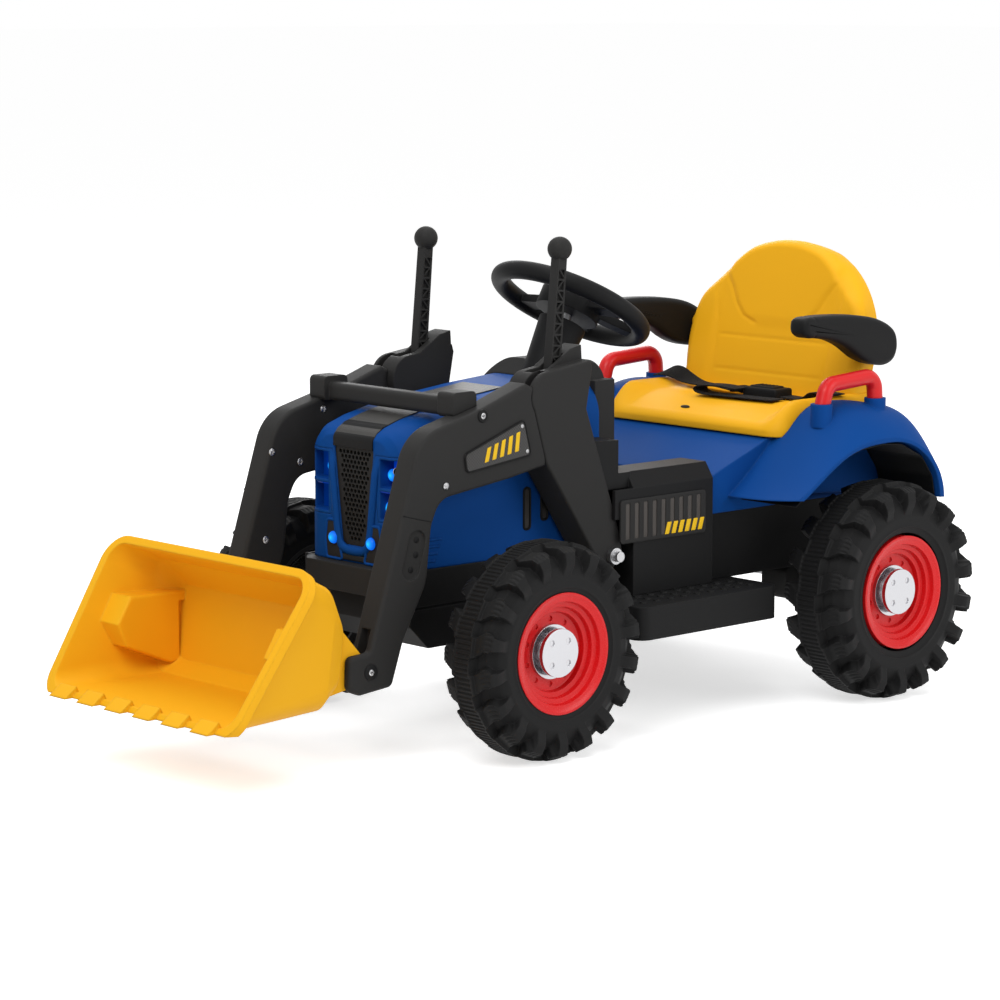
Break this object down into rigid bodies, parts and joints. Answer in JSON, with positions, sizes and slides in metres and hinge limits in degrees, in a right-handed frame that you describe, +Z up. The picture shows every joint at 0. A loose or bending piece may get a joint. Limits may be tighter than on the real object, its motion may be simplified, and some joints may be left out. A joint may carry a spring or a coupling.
{
  "type": "ride-on toy tractor with front loader",
  "caption": "Child's battery ride-on tractor with a tilting front loader bucket, hand levers, steered front wheels, flip-up armrests, seat, grab handles and foot steps",
  "frame": {"origin": "ground level, in the middle of the footprint", "axes": "+X the driver's left, +Y backwards, +Z up; the bucket points to -Y"},
  "size_m": [0.64, 1.236, 0.6504],
  "materials": {
    "blue_shell": "satin moulded",
    "yellow_shell": "satin moulded",
    "black_plastic": "fine grain",
    "grey_plastic": "fine grain",
    "red_plastic": "gloss moulded",
    "tyre_plastic": "blow moulded, hatched",
    "bright_cap": "bright plated",
    "plain_steel": "plated",
    "lamp_lens": "clear tinted",
    "webbing": "woven"
  },
  "bodies": {
    "chassis": {"chassis_tub": "black_plastic", "nose_skirt": "grey_plastic", "hood": "blue_shell", "hood_stripe": "grey_plastic", "grille": "grey_plastic", "headlight_left": "grey_plastic", "headlight_right": "grey_plastic", "lamp_lenses": "lamp_lens", "hood_vents": "grey_plastic", "dash_cowl": "grey_plastic", "column_cover": "black_plastic", "seat_base": "yellow_shell", "seat_back": "yellow_shell", "grab_handle_left": "red_plastic", "grab_handle_right": "red_plastic", "belt_webbing": "webbing", "belt_buckle": "black_plastic", "rear_body": "blue_shell", "side_box_left": "black_plastic", "side_box_right": "black_plastic", "side_panels": "grey_plastic", "step_left": "black_plastic", "step_right": "black_plastic", "battery": "black_plastic", "drive_gearboxes": "grey_plastic", "rear_axle": "plain_steel", "front_axle_beam": "plain_steel", "tower_left": "grey_plastic", "tower_right": "grey_plastic", "loader_pins": "plain_steel"},
    "steering": {"steering_shaft": "plain_steel", "steering_wheel": "black_plastic"},
    "horn": {"horn_button": "black_plastic"},
    "power": {"power_button": "red_plastic"},
    "direction": {"direction_rocker": "black_plastic"},
    "accelerator": {"accelerator_pedal": "black_plastic"},
    "armrest_left_arm": {"armrest_left": "black_plastic"},
    "armrest_right_arm": {"armrest_right": "black_plastic"},
    "steer_left": {"knuckle_left": "plain_steel"},
    "wheel_front_left": {"tyre_front_left": "tyre_plastic", "rim_front_left": "red_plastic", "hub_cap_front_left": "bright_cap"},
    "wheel_rear_left": {"tyre_rear_left": "tyre_plastic", "rim_rear_left": "red_plastic", "hub_cap_rear_left": "bright_cap"},
    "steer_right": {"knuckle_right": "plain_steel"},
    "wheel_front_right": {"tyre_front_right": "tyre_plastic", "rim_front_right": "red_plastic", "hub_cap_front_right": "bright_cap"},
    "wheel_rear_right": {"tyre_rear_right": "tyre_plastic", "rim_rear_right": "red_plastic", "hub_cap_rear_right": "bright_cap"},
    "tie": {"tie_rod": "plain_steel"},
    "loader": {"boom_left": "grey_plastic", "boom_right": "grey_plastic", "cross_bar": "grey_plastic", "boom_plates": "grey_plastic"},
    "scoop": {"bucket": "yellow_shell"},
    "hand_lever_left": {"lever_left": "grey_plastic"},
    "hand_lever_right": {"lever_right": "grey_plastic"}
  },
  "joints": [
    {"name": "steering_turn", "type": "hinge", "parent": "chassis", "child": "steering", "pos_m": [0, 0.134, 0.545], "axis": [0, 0.5, 0.866], "range_deg": [-40, 40]},
    {"name": "horn_press", "type": "slide", "parent": "steering", "child": "horn", "axis": [0, -0.5, -0.866], "range_m": [0, 0.003], "stiffness_N_per_m": 800},
    {"name": "power_press", "type": "slide", "parent": "chassis", "child": "power", "axis": [0, -1, 0], "range_m": [0, 0.003], "stiffness_N_per_m": 800},
    {"name": "direction_rock", "type": "hinge", "parent": "chassis", "child": "direction", "pos_m": [-0.052, 0.12, 0.412], "axis": [1, 0, 0], "range_deg": [-6, 6]},
    {"name": "accelerator_press", "type": "hinge", "parent": "chassis", "child": "accelerator", "pos_m": [-0.2, 0.138, 0.1783], "axis": [1, 0, 0], "range_deg": [0, 12], "stiffness_Nm_per_rad": 2},
    {"name": "armrest_left_flip", "type": "hinge", "parent": "chassis", "child": "armrest_left_arm", "pos_m": [0.186, 0.556, 0.482], "axis": [-1, 0, 0], "range_deg": [0, 85]},
    {"name": "armrest_right_flip", "type": "hinge", "parent": "chassis", "child": "armrest_right_arm", "pos_m": [-0.186, 0.556, 0.482], "axis": [-1, 0, 0], "range_deg": [0, 85]},
    {"name": "knuckle_left_turn", "type": "hinge", "parent": "chassis", "child": "steer_left", "pos_m": [0.186, -0.142, 0.14], "axis": [0, 0, 1], "range_deg": [-20, 20]},
    {"name": "wheel_front_left_roll", "type": "hinge", "parent": "steer_left", "child": "wheel_front_left", "pos_m": [0.241, -0.142, 0.14], "axis": [1, 0, 0], "continuous": true},
    {"name": "wheel_rear_left_roll", "type": "hinge", "parent": "chassis", "child": "wheel_rear_left", "pos_m": [0.268, 0.468, 0.15], "axis": [1, 0, 0], "continuous": true},
    {"name": "knuckle_right_turn", "type": "hinge", "parent": "chassis", "child": "steer_right", "pos_m": [-0.186, -0.142, 0.14], "axis": [0, 0, 1], "range_deg": [-20, 20]},
    {"name": "wheel_front_right_roll", "type": "hinge", "parent": "steer_right", "child": "wheel_front_right", "pos_m": [-0.241, -0.142, 0.14], "axis": [1, 0, 0], "continuous": true},
    {"name": "wheel_rear_right_roll", "type": "hinge", "parent": "chassis", "child": "wheel_rear_right", "pos_m": [-0.268, 0.468, 0.15], "axis": [1, 0, 0], "continuous": true},
    {"name": "tie_rod_shift", "type": "slide", "parent": "chassis", "child": "tie", "axis": [1, 0, 0], "range_m": [-0.0215, 0.0215]},
    {"name": "loader_lift", "type": "hinge", "parent": "chassis", "child": "loader", "pos_m": [0, -0.055, 0.449], "axis": [-1, 0, 0], "range_deg": [0, 28]},
    {"name": "bucket_tilt", "type": "hinge", "parent": "loader", "child": "scoop", "pos_m": [0, -0.359, 0.128], "axis": [1, 0, 0], "range_deg": [-30, 17]},
    {"name": "lever_left_pull", "type": "hinge", "parent": "chassis", "child": "hand_lever_left", "pos_m": [0.131, -0.025, 0.468], "axis": [1, 0, 0], "range_deg": [0, 28]},
    {"name": "lever_right_pull", "type": "hinge", "parent": "chassis", "child": "hand_lever_right", "pos_m": [-0.131, -0.025, 0.468], "axis": [1, 0, 0], "range_deg": [0, 28]}
  ],
  "couplings": [
    {"joint": "knuckle_left_turn", "follows": "steering_turn", "ratio": 0.5},
    {"joint": "knuckle_right_turn", "follows": "steering_turn", "ratio": 0.5},
    {"joint": "tie_rod_shift", "follows": "steering_turn", "m_per_rad": -0.03},
    {"joint": "lever_left_pull", "follows": "loader_lift", "ratio": 1},
    {"joint": "lever_right_pull", "follows": "loader_lift", "ratio": 1}
  ]
}
